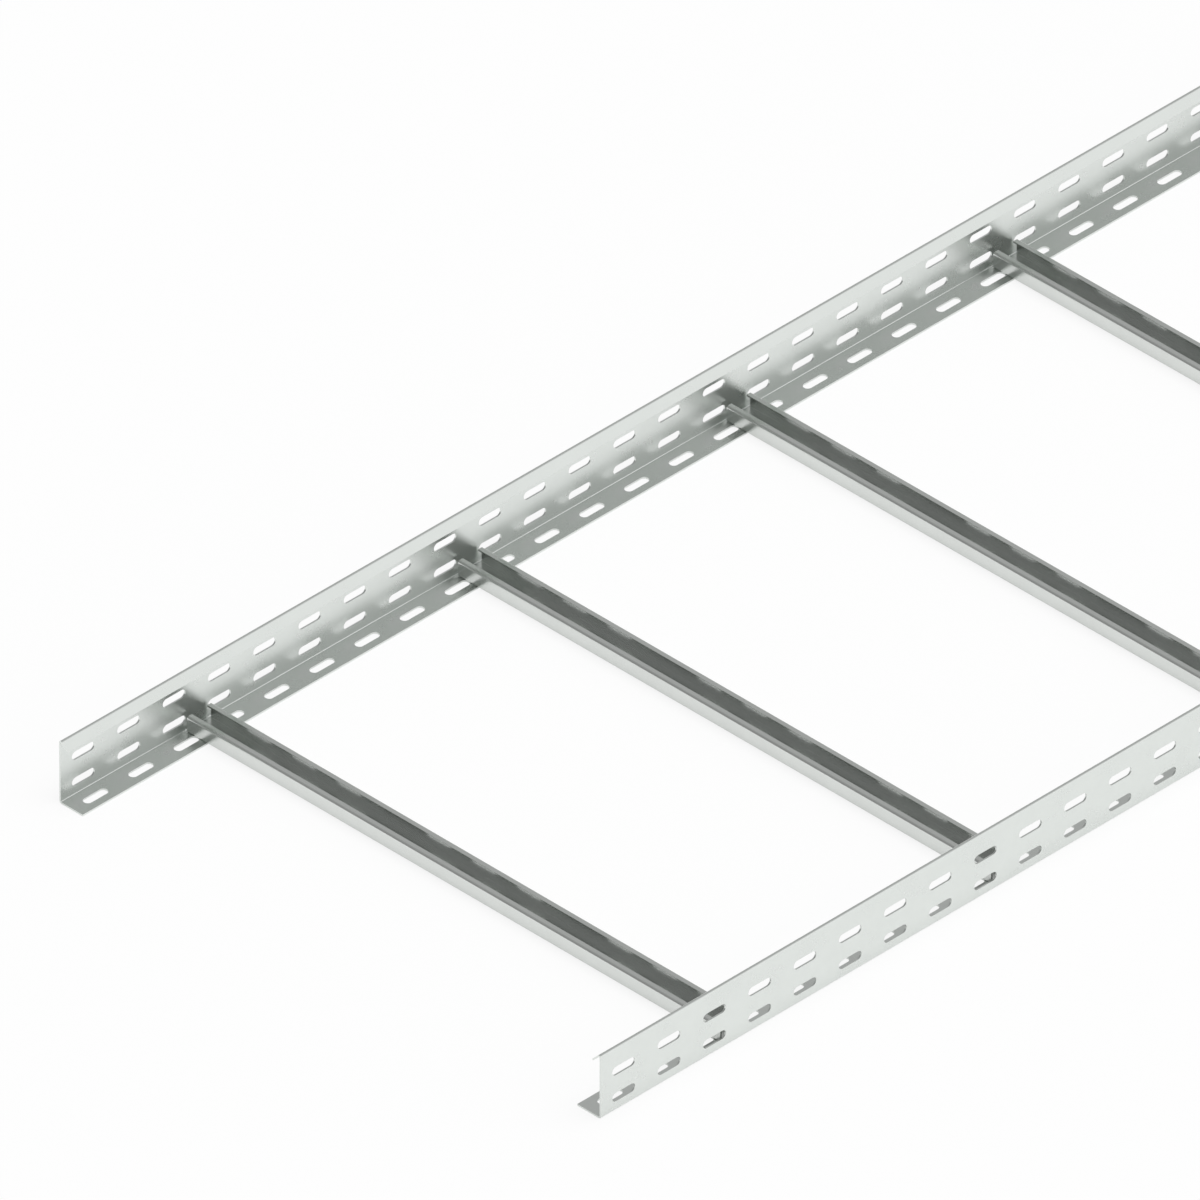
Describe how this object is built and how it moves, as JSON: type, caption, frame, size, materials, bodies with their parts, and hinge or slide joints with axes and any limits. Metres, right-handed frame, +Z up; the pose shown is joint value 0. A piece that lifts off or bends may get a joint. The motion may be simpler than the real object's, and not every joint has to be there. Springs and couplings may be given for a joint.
{
  "type": "cable ladder section",
  "caption": "Straight cable ladder section: two folded, slotted side rails with inclined top lips, joined by lipped C-channel rungs that stand on the rails' bottom flanges.",
  "frame": {"origin": "middle of the underside: halfway along the ladder, halfway between its rails, level with the underside of the bottom flanges", "axes": "+X along the side rails, +Y across the ladder to the left rail, +Z up"},
  "size_m": [3, 0.6, 0.06],
  "materials": {
    "rail_steel": "pre-galvanised, smooth and bright, with a faint mottle",
    "rung_steel": "pre-galvanised, smooth and bright, with a faint mottle"
  },
  "bodies": {
    "root": {"side_rail_left": "rail_steel", "side_rail_right": "rail_steel", "rung_01": "rung_steel", "rung_02": "rung_steel", "rung_03": "rung_steel", "rung_04": "rung_steel", "rung_05": "rung_steel", "rung_06": "rung_steel", "rung_07": "rung_steel", "rung_08": "rung_steel", "rung_09": "rung_steel", "rung_10": "rung_steel"}
  },
  "joints": []
}
